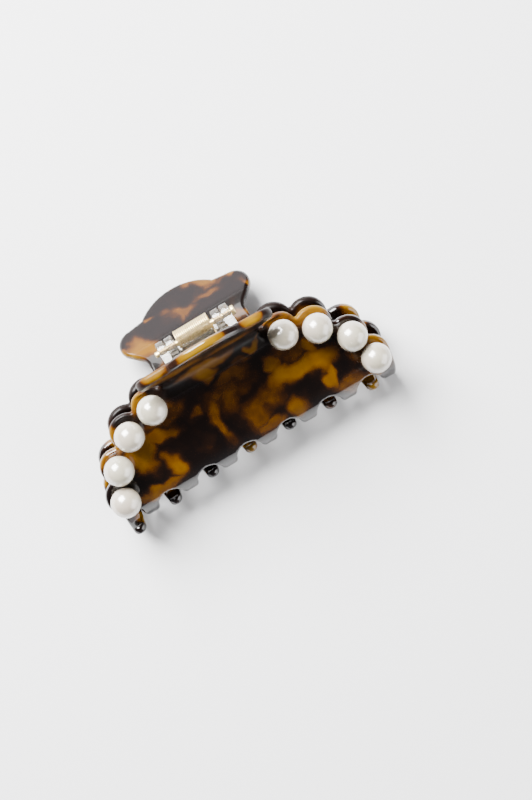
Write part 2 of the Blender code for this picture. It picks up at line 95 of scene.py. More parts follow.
# Flat outline.
DOME_HALF_WIDTH = 14.0 * MM
DOME_RISE = 6.3 * MM
EAR_X = 18.9 * MM
EAR_S = 12.4 * MM
EAR_RADIUS = 5.6 * MM
EAR_SWEEP = math.radians(40.0)
NECK_X = 18.4 * MM
WAIST_S = 23.4 * MM
WAIST_RADIUS = 5.0 * MM
LOBES = tuple(
    (x * MM, JAW_TOP + below * MM) for x, below in ((23.9, 1.2), (34.4, 5.5), (42.8, 14.2), (46.2, 23.8))
)
LOBE_RADIUS = 6.5 * MM
NOTCH_RADIUS = 0.7 * MM
NECK_NOTCH_RADIUS = 1.0 * MM
TOOTH_COUNT = 7
TOOTH_PITCH = 15.0 * MM
TOOTH_SHIFT = TOOTH_PITCH / 4
TOOTH_TIP_S = JAW_TOP + 38.0 * MM
TOOTH_TIP_RADIUS = 2.3 * MM
TOOTH_BOW_START = LOBES[-1][1]
VALLEY_S = JAW_TOP + 32.3 * MM
VALLEY_RADIUS = 4.4 * MM
# How many times finer than the part's outline this one is.
FINE = 4

# The flat sheet is cut in rows along s and in columns along x, so that it can bend.
TAB_ROWS = (-1.0 * MM, TAB_LENGTH - 1.0 * MM, 6)
NECK_ROWS = (TAB_LENGTH - 0.5 * MM, NECK_END + 0.5 * MM, 28)
JAW_ROWS = (NECK_END + 1.5 * MM, JAW_TOP + 23.0 * MM, 14)
CURL_ROWS = (JAW_TOP + 24.0 * MM, JAW_TOP + 43.0 * MM, 30)
COLUMNS = (-52.0 * MM, 52.0 * MM, 40)
# In millimetres: how far under the flat faces the edge's paler colour starts, and how much
# lower it is full.
RIM_MARGIN = 0.02
RIM_FADE = 0.5

# Hinge.
KNUCKLE_RADIUS = 3.4 * MM
KNUCKLE_LENGTH = 2.9 * MM
KNUCKLE_ROUND = 0.45 * MM
KNUCKLE_STEPS = 56
INNER_KNUCKLE_X = 8.65 * MM
OUTER_KNUCKLE_X = 11.85 * MM
PAD_THICKNESS = 1.0 * MM
PAD_HALF_WIDTH = 13.3 * MM
PAD_TOP_S = 22.6 * MM
PAD_BOTTOM_S = 28.6 * MM
PAD_CORNER = 1.5 * MM
PAD_ROUND = 0.3 * MM
PAD_RINGS = 2
PAD_COLUMNS = (-12.0 * MM, 12.0 * MM, 6)
PAD_ROWS = (23.6 * MM, 28.1 * MM, 9)
WEB_HEADING = math.radians(-43.0)
WEB_THICKNESS = 5.0 * MM
WEB_REACH = 7.4 * MM
# A web is a little narrower than its knuckle, so that the knuckle's rounded rim stands out.
WEB_LENGTH = KNUCKLE_LENGTH * 0.98
BORE_RADIUS = 1.1 * MM
BORE_REACH = PAD_HALF_WIDTH + 2.0 * MM
BORE_STEPS = 40

# Pin and spring.
PIN_RADIUS = 1.0 * MM
PIN_ROUND = 0.35 * MM
PIN_STEPS = 48
PIN_LEFT = -14.8 * MM
PIN_HEAD_X = 13.5 * MM
PIN_HEAD_LENGTH = 1.3 * MM
PIN_HEAD_RADIUS = 1.6 * MM
WIRE_RADIUS = 0.29 * MM
COIL_RADIUS = 2.66 * MM
COIL_SHIFT_Y = 0.3 * MM
COIL_SHIFT_Z = 0.9 * MM
COIL_TURNS = 19
COIL_PITCH = 0.65 * MM
COIL_POINTS = 40
COIL_START_X = -6.3 * MM
COIL_END_X = COIL_START_X + COIL_PITCH * COIL_TURNS
LEG_Y = 11.6 * MM
LEG_Z = -0.6 * MM
# Points along the inner and the outer part of each leg.
LEG_INNER_POINTS = 8
LEG_OUTER_POINTS = 6
WIRE_SIDES = 12
# The wire's domed ends: rings beyond its last point, as shares of its radius along and across.
WIRE_DOME = ((0.5, 0.82), (0.9, 0.35))

# Pearls.
PEARL_RADIUS = 5.0 * MM
PEARL_FLAT = 4.6 * MM
PEARL_HOLE_RADIUS = 0.8 * MM
PEARL_HOLE_DEPTH = 3.7 * MM
PEARL_RINGS = 40
PEARL_STEPS = 64

CAMERA_FROM_PIN = Vector((8.94 * MM, -30.47 * MM, 680.0 * MM))
CAMERA_ROLL = math.radians(-30.9)
CAMERA_SENSOR = 36.0
CAMERA_LENS = 94.86
FLOOR_REACH = 4.0
# The floor is a hair under the lowest tooth.
FLOOR_Z = -0.05 * MM


# Section and bending ------------------------------------------------------------------------


def smooth_step(value, low, high):
    t = min(max((value - low) / (high - low), 0.0), 1.0)
    return t * t * (3 - 2 * t)


def along_arc(d, z, heading, length, turn):
    """The end of an arc of this length that starts at d, z and turns by this angle."""
    if abs(turn) < 1e-9:
        return d + length * math.sin(heading), z - length * math.cos(heading), heading
    radius = length / turn
    end = heading + turn
    d += radius * (math.cos(heading) - math.cos(end))
    z -= radius * (math.sin(end) - math.sin(heading))
    return d, z, end


def section(s, stretch=0.0):
    """d, z and heading of the sheet's middle at s. stretch lengthens the belly."""
    arcs = (
        (TAB_LENGTH, 0.0),
        (NECK_LENGTH, NECK_TURN),
        (UPPER_LENGTH, UPPER_TURN),
        (BELLY_LENGTH + stretch, BELLY_TURN),
        (CURL_LENGTH, CURL_TURN),
    )
    d, z, heading = TIP_D, TIP_Z, TIP_HEADING
    for length, turn in arcs:
        part = min(s, length)
        d, z, heading = along_arc(d, z, heading, part, turn * part / length)
        s -= part
        if s <= 0:
            return d, z, heading
    return along_arc(d, z, heading, s, 0.0)


def straight_shoulder(s):
    """The section as it would be with no neck bend."""
    d, z, heading = section(NECK_END)
    return along_arc(d, z, heading, s - NECK_END, 0.0)


def place(x, s, h=0.0):
    """Place in the upright frame of a point of the flat sheet, h out from its middle."""
    d, z, heading = section(s, TOOTH_ARCH * x * x)
    if s < NECK_END:
        flat = smooth_step(abs(x), SHOULDER_IN, SHOULDER_OUT) * smooth_step(s, SHOULDER_TOP, SHOULDER_END)
        flat_d, flat_z, flat_heading = straight_shoulder(s)
        d += flat * (flat_d - d)
        z += flat * (flat_z - z)
        heading += flat * (flat_heading - heading)
    bow = BOW * smooth_step(s, BOW_TOP, BOW_FULL)
    bow += (TOOTH_BOW - BOW) * smooth_step(s, TOOTH_BOW_START, TOOTH_TIP_S)
    d += h * math.cos(heading) - bow * x * x
    z += h * math.sin(heading)
    return Vector((x, -d, z))


def outward(x, s):
    """The unit normal of the sheet's outer face."""
    step = 0.1 * MM
    across = place(x + step, s) - place(x - step, s)
    down = place(x, s + step) - place(x, s - step)
    normal = across.cross(down).normalized()
    return normal if normal.y < 0 else -normal


# Flat outline -------------------------------------------------------------------------------


def arc_points(centre, radius, start, end, count):
    count *= FINE
    step = (end - start) / count
    return [
        (centre[0] + radius * math.cos(start + i * step), centre[1] + radius * math.sin(start + i * step))
        for i in range(count + 1)
    ]


def angle_to(centre, point):
    return math.atan2(point[1] - centre[1], point[0] - centre[0])


def bulge(centre, radius, start, end, count):
    return arc_points(centre, radius, start, start + (end - start) % (2 * math.pi), count)


def notch(centre, radius, start, end, count):
    return arc_points(centre, radius, start, start - (start - end) % (2 * math.pi), count)


def notch_centre(first, second):
    reach = LOBE_RADIUS + NOTCH_RADIUS
    middle = ((first[0] + second[0]) / 2, (first[1] + second[1]) / 2)
    dx, ds = second[0] - first[0], second[1] - first[1]
    apart = math.hypot(dx, ds)
    rise = math.sqrt(reach**2 - (apart / 2) ** 2)
    return middle[0] + ds / apart * rise, middle[1] - dx / apart * rise


def tab_side():
    dome_radius = (DOME_HALF_WIDTH**2 + DOME_RISE**2) / (2 * DOME_RISE)
    dome_angle = math.asin(DOME_HALF_WIDTH / dome_radius)
    right = math.pi / 2
    points = arc_points((0.0, dome_radius), dome_radius, -right, -right + dome_angle * 0.97, 5)
    points += arc_points((EAR_X, EAR_S), EAR_RADIUS, -right, EAR_SWEEP, 7)
    waist = (NECK_X + WAIST_RADIUS, WAIST_S)
    points += arc_points(waist, WAIST_RADIUS, math.pi + EAR_SWEEP, math.pi, 3)
    return points


def lobe_side():
    first = LOBES[0]
    reach = LOBE_RADIUS + NECK_NOTCH_RADIUS
    notch_x = NECK_X + NECK_NOTCH_RADIUS
    centre = (notch_x, first[1] - math.sqrt(reach**2 - (first[0] - notch_x) ** 2))
    points = notch(centre, NECK_NOTCH_RADIUS, math.pi, angle_to(centre, first), 3)
    start = angle_to(first, centre)
    for lobe, following in zip(LOBES, LOBES[1:]):
        centre = notch_centre(lobe, following)
        points += bulge(lobe, LOBE_RADIUS, start, angle_to(lobe, centre), 7)
        points += notch(centre, NOTCH_RADIUS, angle_to(centre, lobe), angle_to(centre, following), 2)
        start = angle_to(following, centre)
    points += bulge(LOBES[-1], LOBE_RADIUS, start, math.radians(5.0), 4)
    return points


def tooth_line():
    points = []
    for index in reversed(range(TOOTH_COUNT)):
        x = TOOTH_SHIFT + TOOTH_PITCH * (index - TOOTH_COUNT // 2)
        tip = (x, TOOTH_TIP_S + TOOTH_ARCH * x * x)
        points += arc_points(tip, TOOTH_TIP_RADIUS, math.radians(8.0), math.radians(172.0), 5)
        if index:
            valley_x = x - TOOTH_PITCH / 2
            valley = (valley_x, VALLEY_S + TOOTH_ARCH * valley_x**2)
            points += arc_points(valley, VALLEY_RADIUS, 0.0, -math.pi, 6)
    return points


def last_notch():
    lobe = (-LOBES[-1][0], LOBES[-1][1])
    tooth_x = TOOTH_SHIFT - TOOTH_PITCH * (TOOTH_COUNT // 2)
    side_x = tooth_x - TOOTH_PITCH / 2 + VALLEY_RADIUS
    reach = LOBE_RADIUS + NOTCH_RADIUS
    centre_x = side_x - NOTCH_RADIUS
    centre = (centre_x, lobe[1] + math.sqrt(reach**2 - (centre_x - lobe[0]) ** 2))
    points = notch(centre, NOTCH_RADIUS, 0.0, angle_to(centre, lobe), 2)
    return points, angle_to(lobe, centre)


def outline():
    right = tab_side() + lobe_side()
    corner, start = last_notch()
    left_lobe = (-LOBES[-1][0], LOBES[-1][1])
    bottom = bulge(left_lobe, LOBE_RADIUS, start, math.radians(175.0), 4)
    left = [(-x, s) for x, s in reversed(right) if x > 1e-6]
    points = right + tooth_line() + corner + bottom + left
    return [point for point, after in zip(points, points[1:] + points[:1]) if math.dist(point, after) > 1e-6]


# Mesh helpers -------------------------------------------------------------------------------


def smooth_below(mesh, degrees):
    """Smooth shading, with the edges that turn by more than this kept sharp."""
    mesh.shade_smooth()
    mesh.set_sharp_from_angle(angle=math.radians(degrees))


def link(name, mesh):
    obj = bpy.data.objects.new(name, mesh)
    bpy.context.scene.collection.objects.link(obj)
    return obj


def flat_slab(name, points, thickness, rounding, rings):
    """A slab of this flat outline with rounded edges: x across, y along s, z through."""
    curve = bpy.data.curves.new(name, "CURVE")
    curve.dimensions = "2D"
    curve.fill_mode = "BOTH"
    curve.extrude = thickness / 2 - rounding
    curve.bevel_depth = rounding
    curve.bevel_resolution = rings
    curve.offset = -rounding
    spline = curve.splines.new("POLY")
    spline.points.add(len(points) - 1)
    for point, (x, s) in zip(spline.points, points):
        point.co = (x, s, 0.0, 1.0)
    spline.use_cyclic_u = True
    obj = link(name, curve)
    graph = bpy.context.evaluated_depsgraph_get()
    mesh = bpy.data.meshes.new_from_object(obj.evaluated_get(graph))
    bpy.data.objects.remove(obj, do_unlink=True)
    mesh.name = name
    return mesh


def levels(start, end, count):
    return [start + (end - start) * i / count for i in range(count + 1)]


def bend(mesh, x_levels, s_levels, h_middle=0.0):
    """Cuts the slab in rows, keeps its flat places as an attribute, and bends it."""
    shape = bmesh.new()
    shape.from_mesh(mesh)
    bmesh.ops.remove_doubles(shape, verts=shape.verts, dist=1e-6)
    bmesh.ops.recalc_face_normals(shape, faces=shape.faces)
    bmesh.ops.dissolve_limit(shape, angle_limit=1e-3, verts=shape.verts, edges=shape.edges)
    for axis, cuts in ((0, x_levels), (1, s_levels)):
        for level in cuts:
            on = Vector((0.0, 0.0, 0.0))
            on[axis] = level
            normal = Vector((0.0, 0.0, 0.0))
            normal[axis] = 1.0
            everything = shape.verts[:] + shape.edges[:] + shape.faces[:]
            bmesh.ops.bisect_plane(shape, geom=everything, dist=1e-6, plane_co=on, plane_no=normal)
    flat_places = [vertex.co.copy() for vertex in shape.verts]
    for vertex in shape.verts:
        vertex.co = place(vertex.co.x, vertex.co.y, h_middle + vertex.co.z)
    bmesh.ops.reverse_faces(shape, faces=shape.faces)
    shape.to_mesh(mesh)
    shape.free()
    flat = mesh.attributes.new("flat", "FLOAT_VECTOR", "POINT")
    flat.data.foreach_set("vector", [c / MM for co in flat_places for c in co])


def even_normals(obj):
    obj.data.shade_smooth()
    weighted = obj.modifiers.new("even_normals", "WEIGHTED_NORMAL")
    weighted.mode = "FACE_AREA"
    weighted.weight = 80
    weighted.keep_sharp = False


def lathe(name, profile, steps):
    """A turned solid about X. The profile is (x, radius) from end to end, its ends on the axis."""
    mesh = bpy.data.meshes.new(name)
    vertices, faces = [], []
    rings = []
    for x, radius in profile:
        first = len(vertices)
        if radius < 1e-9:
            vertices.append((x, 0.0, 0.0))
            rings.append([first] * steps)
            continue
        for i in range(steps):
            angle = 2 * math.pi * i / steps
            vertices.append((x, radius * math.cos(angle), radius * math.sin(angle)))
        rings.append(list(range(first, first + steps)))
    for ring, following in zip(rings, rings[1:]):
        for i in range(steps):
            j = (i + 1) % steps
            corners = [ring[i], ring[j], following[j], following[i]]
            kept = list(dict.fromkeys(corners))
            if len(kept) > 2:
                faces.append(kept)
    mesh.from_pydata(vertices, [], faces)
    mesh.update()
    shape = bmesh.new()
    shape.from_mesh(mesh)
    bmesh.ops.recalc_face_normals(shape, faces=shape.faces)
    shape.to_mesh(mesh)
    shape.free()
    return mesh


def tube(name, route, radius):
    """A round wire along this route, with domed ends."""
    directions = []
    for i in range(len(route)):
        before, after = route[max(i - 1, 0)], route[min(i + 1, len(route) - 1)]
        directions.append((after - before).normalized())
    side = directions[0].orthogonal().normalized()
    vertices, faces = [], []
    stations = [(route[0], directions[0], -radius * along, across) for along, across in reversed(WIRE_DOME)]
    stations += [(point, direction, 0.0, 1.0) for point, direction in zip(route, directions)]
    stations += [(route[-1], directions[-1], radius * along, across) for along, across in WIRE_DOME]
    for point, direction, shift, scale in stations:
        side = (side - direction * side.dot(direction)).normalized()
        other = direction.cross(side)
        for k in range(WIRE_SIDES):
            angle = 2 * math.pi * k / WIRE_SIDES
            out = side * math.cos(angle) + other * math.sin(angle)
            vertices.append(point + direction * shift + out * radius * scale)
    last = (len(stations) - 1) * WIRE_SIDES
    for ring in range(0, last, WIRE_SIDES):
        following = ring + WIRE_SIDES
        for k in range(WIRE_SIDES):
            n = (k + 1) % WIRE_SIDES
            faces.append((ring + k, ring + n, following + n, following + k))
    faces.append(tuple(reversed(range(WIRE_SIDES))))
    faces.append(tuple(range(last, last + WIRE_SIDES)))
    mesh = bpy.data.meshes.new(name)
    mesh.from_pydata([tuple(v) for v in vertices], [], faces)
    mesh.update()
    mesh.shade_smooth()
    return mesh


# Material helpers ---------------------------------------------------------------------------


class Nodes:
    """Short calls for building one material's node tree."""

    def __init__(self, name):
        self.material = bpy.data.materials.new(name)
        self.material.use_nodes = True
        self.tree = self.material.node_tree
        self.shader = self.tree.nodes["Principled BSDF"]

    def node(self, kind, **settings):
        made = self.tree.nodes.new(kind)
        for key, value in settings.items():
            setattr(made, key, value)
        return made

    def feed(self, socket, value):
        if isinstance(value, bpy.types.NodeSocket):
            self.tree.links.new(value, socket)
        else:
            socket.default_value = value

    def math(self, operation, first, second=0.0, clamp=False):
        made = self.node("ShaderNodeMath", operation=operation, use_clamp=clamp)
        self.feed(made.inputs[0], first)
        self.feed(made.inputs[1], second)
        return made.outputs[0]

    def vector(self, operation, first, second):
        made = self.node("ShaderNodeVectorMath", operation=operation)
        self.feed(made.inputs[0], first)
        self.feed(made.inputs[1], second)
        return made.outputs["Value" if operation == "LENGTH" else "Vector"]

    def noise(self, vector, scale, detail=2.0, roughness=0.5):
        made = self.node("ShaderNodeTexNoise")
        self.feed(made.inputs["Vector"], vector)
        self.feed(made.inputs["Scale"], scale)
        self.feed(made.inputs["Detail"], detail)
        self.feed(made.inputs["Roughness"], roughness)
        return made.outputs["Fac"], made.outputs["Color"]

    def ramp(self, value, stops):
        made = self.node("ShaderNodeValToRGB")
        ramp = made.color_ramp
        while len(ramp.elements) < len(stops):
            ramp.elements.new(0.5)
        for element, (position, colour) in zip(ramp.elements, stops):
            element.position = position
            element.color = (*colour, 1.0)
        self.feed(made.inputs["Fac"], value)
        return made.outputs["Color"]

    def mix(self, factor, first, second):
        made = self.node("ShaderNodeMix", data_type="RGBA")
        self.feed(made.inputs["Factor"], factor)
        self.feed(made.inputs[6], first)
        self.feed(made.inputs[7], second)
        return made.outputs[2]

    def map_range(self, value, low, high, new_low=0.0, new_high=1.0):
        made = self.node("ShaderNodeMapRange")
        self.feed(made.inputs["Value"], value)
        self.feed(made.inputs["From Min"], low)
        self.feed(made.inputs["From Max"], high)
        self.feed(made.inputs["To Min"], new_low)
        self.feed(made.inputs["To Max"], new_high)
        return made.outputs["Result"]

    def attribute(self, name):
        made = self.node("ShaderNodeAttribute", attribute_name=name)
        return made.outputs

    def object_place(self):
        return self.node("ShaderNodeTexCoord").outputs["Object"]


# Amber patches of the tortoiseshell on the sheet: x and s of the middle, half sizes, strength.
FRONT_PATCHES = (
    (-1.5, -1.0, 10.5, 4.4, 1.0), (-18.5, 4.0, 5.2, 4.6, 0.8), (17.5, 4.0, 3.8, 4.8, 1.0),
    (-12.0, 13.0, 9.0, 6.0, 0.9), (7.0, 18.0, 8.0, 4.5, 0.9), (-2.0, 26.0, 11.0, 2.6, 0.8),
    (-4.5, 29.5, 4.2, 3.0, 0.95), (3.0, 35.0, 7.0, 2.8, 0.55), (13.7, 30.0, 2.2, 1.8, 1.0),
    (8.0, 33.0, 4.0, 2.2, 0.5), (-34.0, 43.0, 5.0, 7.2, 0.9), (-27.0, 40.7, 8.6, 2.6, 0.65),
    (-26.5, 52.5, 3.8, 5.2, 0.8), (-35.0, 57.6, 9.0, 2.2, 0.75), (-7.0, 46.0, 2.2, 9.0, 0.62),
    (-12.0, 40.5, 3.0, 2.0, 0.5), (4.4, 50.5, 5.2, 6.6, 0.55), (-1.0, 42.0, 4.4, 5.0, 0.45),
    (24.5, 45.0, 15.0, 3.6, 0.9), (16.6, 40.0, 3.0, 4.0, 0.75), (30.5, 40.0, 2.4, 4.0, 0.7),
    (31.0, 52.0, 2.0, 6.5, 0.8), (16.5, 55.5, 5.0, 4.0, 0.7), (36.0, 58.5, 6.5, 3.4, 0.65),
    (6.7, 56.5, 4.0, 2.6, 0.6), (24.5, 26.5, 6.5, 4.2, 0.6), (35.5, 30.0, 7.5, 4.4, 1.0),
    (0.0, 38.0, 12.0, 4.0, 0.48), (-22.0, 36.0, 9.0, 4.0, 0.45), (24.0, 38.0, 9.0, 4.0, 0.5),
    (12.0, 47.0, 8.0, 5.0, 0.5), (49.0, 52.0, 7.0, 8.4, 0.9), (44.0, 60.0, 4.0, 3.0, 0.8),
    (-28.0, 27.5, 4.2, 4.2, 0.9), (-40.8, 35.0, 3.2, 5.0, 0.85), (-47.0, 39.0, 4.4, 4.4, 0.7),
)
REAR_PATCHES = (
    (0.5, 11.4, 5.4, 2.8, 0.54), (-10.2, 10.5, 5.2, 1.9, 0.52), (-5.3, 2.0, 3.6, 2.0, 0.56),
    (-19.8, 7.0, 2.2, 1.9, 0.9), (18.2, 16.5, 4.6, 4.4, 1.0), (3.75, 66.0, 3.6, 5.0, 1.0),
    (-26.2, 66.0, 3.4, 4.0, 0.62), (-41.0, 67.0, 4.0, 6.0, 1.0), (-49.0, 42.0, 4.0, 6.4, 1.0),
    (14.0, 44.0, 9.0, 5.0, 0.9), (-22.0, 49.0, 7.0, 6.0, 0.9), (33.0, 51.0, 6.0, 5.0, 0.9),
    (-6.0, 32.0, 7.0, 3.0, 0.8), (40.0, 37.0, 5.0, 4.0, 0.8), (-33.0, 34.0, 5.0, 3.0, 0.7),
    (49.0, 47.0, 4.0, 5.0, 0.7), (-12.0, 24.5, 5.0, 2.6, 0.8),
)


# Where along s, in millimetres, the painted shade of the neck's bend starts on each half and where it
# ends, and over what distance it fades: there the reflection is turned down and the surface roughened.
FRONT_BEND_SHADE_FROM = 3.0
REAR_BEND_SHADE_FROM = 15.5
BEND_SHADE_TO = 31.5
BEND_SHADE_FADE = 2.5

# Colour of the acetate from dark to amber, on its faces and where light gets in at its edges.
FACE_TONES = (
    (0.0, (0.0020, 0.0009, 0.0006)),
    (0.26, (0.0050, 0.0018, 0.0008)),
    (0.42, (0.021, 0.0062, 0.0004)),
    (0.60, (0.056, 0.0190, 0.0004)),
    (1.0, (0.100, 0.0425, 0.0005)),
)
EDGE_TONES = (
    (0.0, (0.004, 0.0015, 0.001)),
    (0.30, (0.010, 0.003, 0.001)),
    (0.46, (0.055, 0.017, 0.0004)),
    (0.60, (0.088, 0.039, 0.0003)),
    (1.0, (0.130, 0.068, 0.0003)),
)


def tortoiseshell(name, patches, seed, loose, bend_shade_from):
    """Polished acetate: dark with amber patches, brighter at the edges, its reflection turned down in the
    bend as painted shade.

    seed shifts the noise, loose is the strength of the stray patches, bend_shade_from is where the
    bend starts."""
    n = Nodes(name)
    flat = n.attribute("flat")["Vector"]
    shifted = n.vector("ADD", flat, (seed, seed * 0.7, 0.0))
    wide = n.vector("SUBTRACT", n.noise(shifted, 0.14, 1.0)[1], (0.5, 0.5, 0.5))
    small = n.vector("SUBTRACT", n.noise(shifted, 0.6, 1.0)[1], (0.5, 0.5, 0.5))
    warped = n.vector("ADD", flat, n.vector("MULTIPLY", wide, (8.0, 8.0, 0.0)))
    warped = n.vector("ADD", warped, n.vector("MULTIPLY", small, (1.1, 1.1, 0.0)))
    amount = None
    for x, s, half_x, half_s, strength in patches:
        away = n.vector("SUBTRACT", warped, (x, s, 0.0))
        scaled = n.vector("MULTIPLY", away, (1 / half_x, 1 / half_s, 0.0))
        inside = n.math("SUBTRACT", 1.5, n.vector("LENGTH", scaled, (0.0, 0.0, 0.0)), clamp=True)
        inside = n.math("MULTIPLY", inside, strength)
        amount = inside if amount is None else n.math("MAXIMUM", amount, inside)
    squeezed = n.vector("MULTIPLY", warped, (1.0, 1.3, 0.0))
    stray = n.map_range(n.noise(squeezed, 0.085, 1.0)[0], 0.53, 0.66)
    amount = n.math("MAXIMUM", amount, n.math("MULTIPLY", stray, loose))
    haze = n.noise(shifted, 0.24, 1.0)[0]
    amount = n.math("ADD", amount, n.math("MULTIPLY", n.math("SUBTRACT", haze, 0.5), 0.45))
    face = n.ramp(amount, FACE_TONES)
    edge = n.ramp(amount, EDGE_TONES)
    rim = n.attribute("rim")["Fac"]
    n.feed(n.shader.inputs["Base Color"], n.mix(rim, face, edge))
    # Painted shade in the bend: the reflection is turned down there and the surface made rougher.
    along = n.node("ShaderNodeSeparateXYZ")
    n.feed(along.inputs[0], flat)
    into_bend = n.map_range(along.outputs["Y"], bend_shade_from, bend_shade_from + BEND_SHADE_FADE)
    out_of_bend = n.map_range(along.outputs["Y"], BEND_SHADE_TO, BEND_SHADE_TO + BEND_SHADE_FADE)
    bend_shade = n.math("SUBTRACT", into_bend, out_of_bend, clamp=True)
    n.feed(n.shader.inputs["Specular IOR Level"], n.map_range(bend_shade, 0.0, 1.0, 0.5, 0.08))
    scuffs = n.map_range(n.noise(flat, 2.4, 5.0)[0], 0.3, 0.8, 0.05, 0.13)
    n.feed(n.shader.inputs["Roughness"], n.math("ADD", scuffs, n.math("MULTIPLY", bend_shade, 0.32)))
    n.shader.inputs["IOR"].default_value = 1.49
    n.shader.inputs["Coat Weight"].default_value = 0.08
    n.shader.inputs["Coat Roughness"].default_value = 0.04
    waves = n.node("ShaderNodeBump")
    waves.inputs["Strength"].default_value = 0.12
    waves.inputs["Distance"].default_value = 0.25 * MM
    n.feed(waves.inputs["Height"], n.noise(flat, 0.11, 1.0)[0])
    n.feed(n.shader.inputs["Normal"], waves.outputs["Normal"])
    return n.material


def pearl_material():
    """Ivory coating with a faint nacre mottle and a clear glossy skin."""
    n = Nodes("pearl_coating")
    here = n.object_place()
    mottle = n.noise(here, 260.0, 4.0)[0]
    drift = n.noise(here, 90.0, 2.0)[0]
    base = n.ramp(mottle, ((0.3, (0.285, 0.258, 0.188)), (0.7, (0.365, 0.335, 0.265))))
    tint = n.ramp(drift, ((0.35, (0.31, 0.293, 0.208)), (0.65, (0.365, 0.288, 0.245))))
    n.feed(n.shader.inputs["Base Color"], n.mix(0.4, base, tint))
    n.feed(n.shader.inputs["Roughness"], n.map_range(mottle, 0.3, 0.7, 0.22, 0.28))
    n.shader.inputs["IOR"].default_value = 1.75
    n.shader.inputs["Coat Weight"].default_value = 1.0
    n.shader.inputs["Coat Roughness"].default_value = 0.22
    n.shader.inputs["Coat IOR"].default_value = 1.75
    return n.material


def gold_material():
    """Pale gold plating with fine drawing marks."""
    n = Nodes("pale_gold_plating")
    here = n.object_place()
    marks = n.noise(n.vector("MULTIPLY", here, (1.0, 0.25, 0.25)), 5200.0, 3.0)[0]
    wear = n.noise(here, 700.0, 3.0)[0]
    colour = n.ramp(wear, ((0.3, (0.62, 0.48, 0.22)), (0.7, (0.80, 0.65, 0.36))))
    n.feed(n.shader.inputs["Base Color"], colour)
    n.feed(n.shader.inputs["Roughness"], n.map_range(marks, 0.3, 0.7, 0.22, 0.36))
    n.shader.inputs["Metallic"].default_value = 0.85
    return n.material


def clear_material():
    """Clear moulded plastic, a little warm, with faint flow marks."""
    n = Nodes("clear_moulded_plastic")
    here = n.object_place()
    flow = n.noise(n.vector("MULTIPLY", here, (1.0, 2.0, 1.0)), 420.0, 3.0)[0]
    colour = n.ramp(flow, ((0.3, (0.70, 0.64, 0.54)), (0.7, (0.80, 0.75, 0.66))))
    n.feed(n.shader.inputs["Base Color"], colour)
    n.feed(n.shader.inputs["Roughness"], n.map_range(flow, 0.3, 0.7, 0.03, 0.08))
    n.shader.inputs["IOR"].default_value = 1.47
    n.shader.inputs["Transmission Weight"].default_value = 0.95
    return n.material


# Pieces -------------------------------------------------------------------------------------


def finish_piece(obj, material, body, node):
    obj.data.materials.clear()
    obj.data.materials.append(material)
    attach(obj, body)
    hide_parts(node)
    return obj


def keep_rim(mesh):
    """Keeps how near each point is to the sheet's edge: 0 on the flat faces, 1 round the edge."""
    flat = [0.0] * (len(mesh.vertices) * 3)
    mesh.attributes["flat"].data.foreach_get("vector", flat)
    top = HALF_SHEET / MM - RIM_MARGIN
    rim = mesh.attributes.new("rim", "FLOAT", "POINT")
    rim.data.foreach_set("value", [smooth_step(top - abs(h), 0.0, RIM_FADE) for h in flat[2::3]])


def half(name, matrix, material, body, node):
    mesh = flat_slab(name, outline(), SHEET, EDGE_ROUND, EDGE_RINGS)
    rows = levels(*TAB_ROWS) + levels(*NECK_ROWS) + levels(*JAW_ROWS) + levels(*CURL_ROWS)
    bend(mesh, levels(*COLUMNS), rows)
    keep_rim(mesh)
    mesh.transform(matrix)
    obj = link(name, mesh)
    even_normals(obj)
    return finish_piece(obj, material, body, node)


def seat_matrix(x, s, height):
    """Turns +X to the outward normal at this place of the front half, height above the middle."""
    normal = outward(x, s)
    turn = Vector((1.0, 0.0, 0.0)).rotation_difference(normal).to_matrix().to_4x4()
    return FRONT @ Matrix.Translation(place(x, s) + normal * height) @ turn


def pearl_profile():
    """Drilled bead with a small flat seat, centred on the origin, its seat towards -X."""
    seat_radius = math.sqrt(PEARL_RADIUS**2 - PEARL_FLAT**2)
    end = math.atan2(seat_radius, -PEARL_FLAT)
    turns = [end * i / PEARL_RINGS for i in range(1, PEARL_RINGS + 1)]
    arc = [(PEARL_RADIUS * math.cos(turn), PEARL_RADIUS * math.sin(turn)) for turn in turns]
    hole_end = -PEARL_FLAT + PEARL_HOLE_DEPTH
    hole = [(-PEARL_FLAT, PEARL_HOLE_RADIUS), (hole_end, PEARL_HOLE_RADIUS), (hole_end, 0.0)]
    return [(PEARL_RADIUS, 0.0)] + arc + hole


def pearls(material):
    profile = pearl_profile()
    for side, sign in (("left", -1), ("right", 1)):
        for index, (x, s) in enumerate(LOBES, 1):
            label = f"{side}_{index}"
            mesh = lathe(f"bead_{label}", profile, PEARL_STEPS)
            mesh.transform(seat_matrix(sign * x, s, HALF_SHEET + GAP + PEARL_FLAT))
            smooth_below(mesh, 40.0)
            finish_piece(link(f"bead_{label}", mesh), material, "front", f"pearl_{label}")


def rim_points(x, radius, rounding, towards, steps=5):
    """From the flat end at x out to the full radius. towards is +1 for the +X end."""
    turns = [math.pi / 2 * i / steps for i in range(steps + 1)]
    centre_x = x - towards * rounding
    centre_r = radius - rounding
    return [(centre_x + towards * rounding * math.cos(t), centre_r + rounding * math.sin(t)) for t in turns]


def pin_piece(material):
    """Plain shank with a rounded left end and a turned head on the right."""
    head_end = PIN_HEAD_X + PIN_HEAD_LENGTH
    profile = [(head_end, 0.0)] + rim_points(head_end, PIN_HEAD_RADIUS, PIN_ROUND, 1)
    profile += list(reversed(rim_points(PIN_HEAD_X, PIN_HEAD_RADIUS, PIN_ROUND, -1)))
    profile += [(PIN_HEAD_X, PIN_RADIUS)]
    profile += list(reversed(rim_points(PIN_LEFT, PIN_RADIUS, PIN_ROUND, -1)))
    profile += [(PIN_LEFT, 0.0)]
    mesh = lathe("pin_turned", profile, PIN_STEPS)
    mesh.transform(HINGE)
    smooth_below(mesh, 50.0)
    return finish_piece(link("pin_turned", mesh), material, "rear", "hinge_pin")


